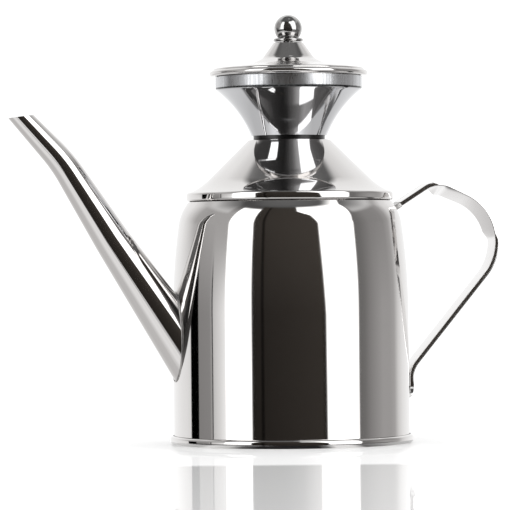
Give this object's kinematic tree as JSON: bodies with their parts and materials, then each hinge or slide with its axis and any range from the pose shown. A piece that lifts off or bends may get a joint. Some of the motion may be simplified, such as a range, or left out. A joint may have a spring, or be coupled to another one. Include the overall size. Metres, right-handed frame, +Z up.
{
  "type": "oil dispenser",
  "caption": "Polished sheet steel oil dispenser with a slanted tapered spout, a strip handle, a filling funnel on the neck and a lift-off lid with a ball knob.",
  "frame": {"origin": "centre of the flat underside, at the level the object stands on", "axes": "+Z up along the body's axis, the spout points to -X, the handle is on the +X side, and Y is across"},
  "size_m": [0.2041, 0.1, 0.1763],
  "materials": {
    "polished_steel": "mirror polished stainless steel",
    "drawn_steel": "polished with fine drawing lines",
    "inner_steel": "satin, as rolled",
    "solder": "satin, dressed flush",
    "fastener_steel": "satin"
  },
  "bodies": {
    "vessel": {"base_pan": "polished_steel", "body_wall": "polished_steel", "shoulder_cone": "polished_steel", "neck_sleeve": "inner_steel", "filling_funnel": "drawn_steel", "spout_tube": "polished_steel", "spout_solder_seam": "solder", "handle_strip": "polished_steel", "handle_top_weld": "solder", "handle_foot_weld": "solder"},
    "lid": {"lid_shell": "polished_steel", "lid_skirt": "inner_steel", "knob": "polished_steel", "knob_washer": "fastener_steel", "knob_screw": "fastener_steel"}
  },
  "joints": [
    {"name": "lid_lift", "type": "slide", "parent": "vessel", "child": "lid", "axis": [0, 0, 1], "range_m": [0, 0.04]}
  ]
}
